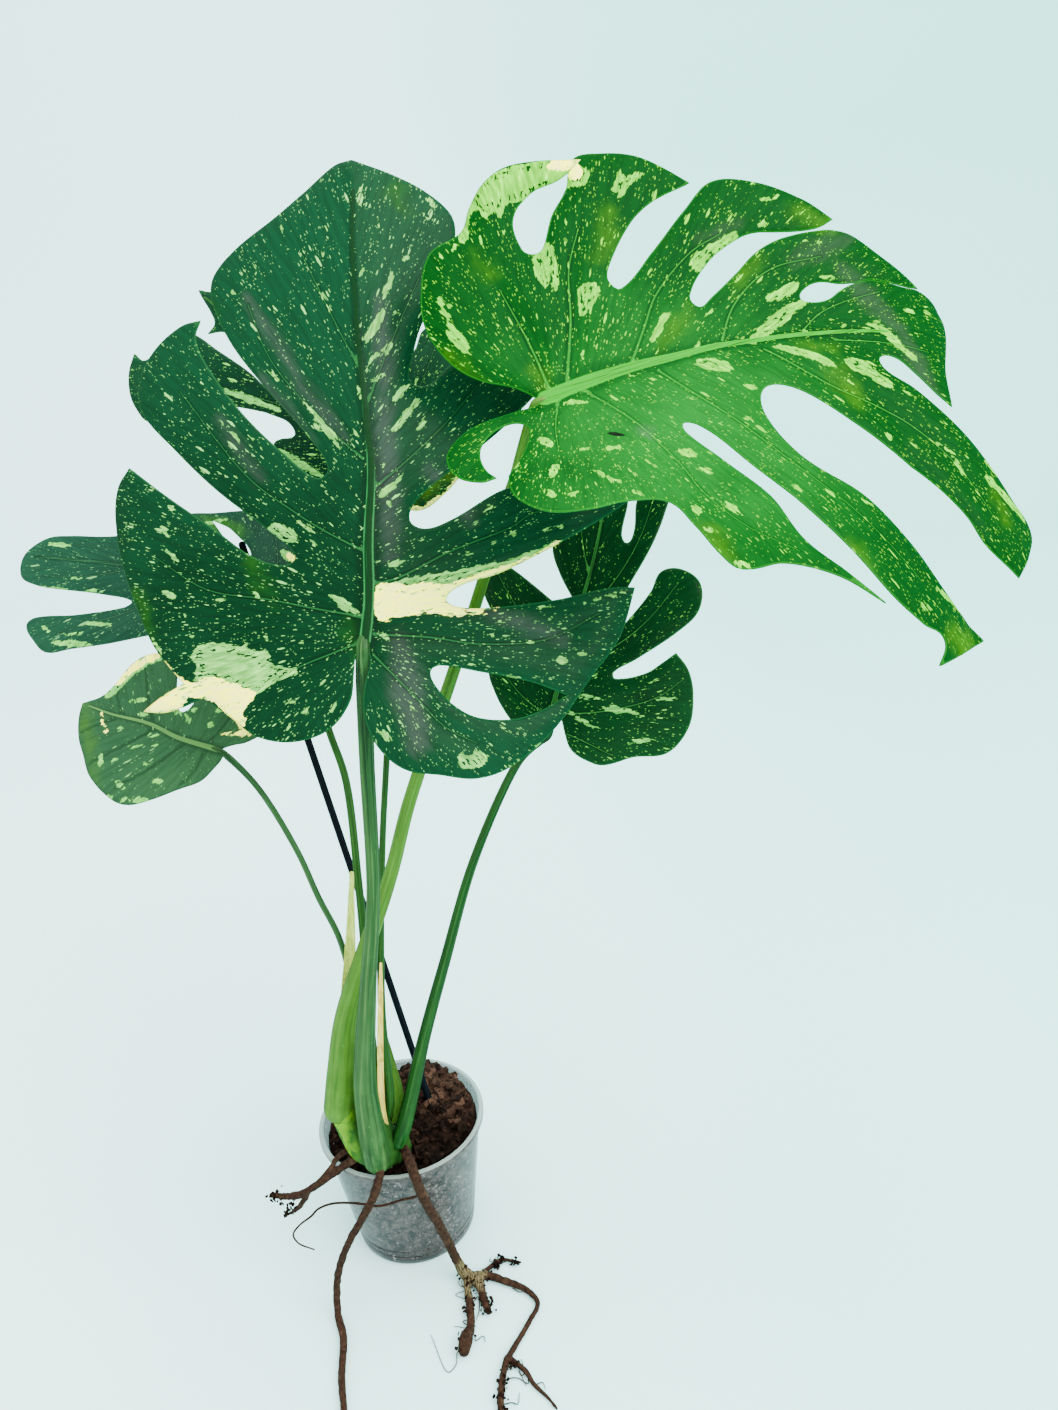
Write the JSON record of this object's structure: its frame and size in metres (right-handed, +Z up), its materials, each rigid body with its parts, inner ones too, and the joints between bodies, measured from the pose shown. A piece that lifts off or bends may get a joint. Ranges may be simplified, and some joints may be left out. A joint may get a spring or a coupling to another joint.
{
  "type": "potted houseplant",
  "caption": "Variegated split-leaf climber in a clear tapered nursery pot: long stalks rise from a thick crown, with a thin stake and aerial roots over the rim.",
  "frame": {"origin": "middle of the pot's flat bottom", "axes": "+Z up along the pot's axis; +Y is the direction in which the plant is looked at, +X to the viewer's right"},
  "size_m": [0.6091, 0.3198, 0.7207],
  "materials": {
    "pot_plastic": "thin frosted clear plastic",
    "bark_soil": "loose bark chips and peat",
    "stake_coating": "smooth dark coating",
    "crown_skin": "waxy green and yellow stem",
    "dark_leaf": "smooth waxy leaf with pale specks",
    "bright_leaf": "smooth waxy leaf with pale specks",
    "young_leaf": "soft satin leaf with cream bands",
    "dry_sheath": "dry papery sheath",
    "green_sheath": "satin green sheath",
    "root_bark": "rough brown root with soil on it"
  },
  "bodies": {
    "root": {"pot": "pot_plastic", "soil": "bark_soil", "stake": "stake_coating", "crown": "crown_skin", "leaf_1_front": "dark_leaf", "leaf_2_arched": "bright_leaf", "leaf_3_back": "dark_leaf", "leaf_4_left": "dark_leaf", "leaf_5_small": "young_leaf", "leaf_6_right": "dark_leaf", "dry_sheath_left": "dry_sheath", "dry_sheath_right": "dry_sheath", "green_sheath": "green_sheath", "root_front": "root_bark", "root_right": "root_bark", "root_left": "root_bark"}
  },
  "joints": []
}
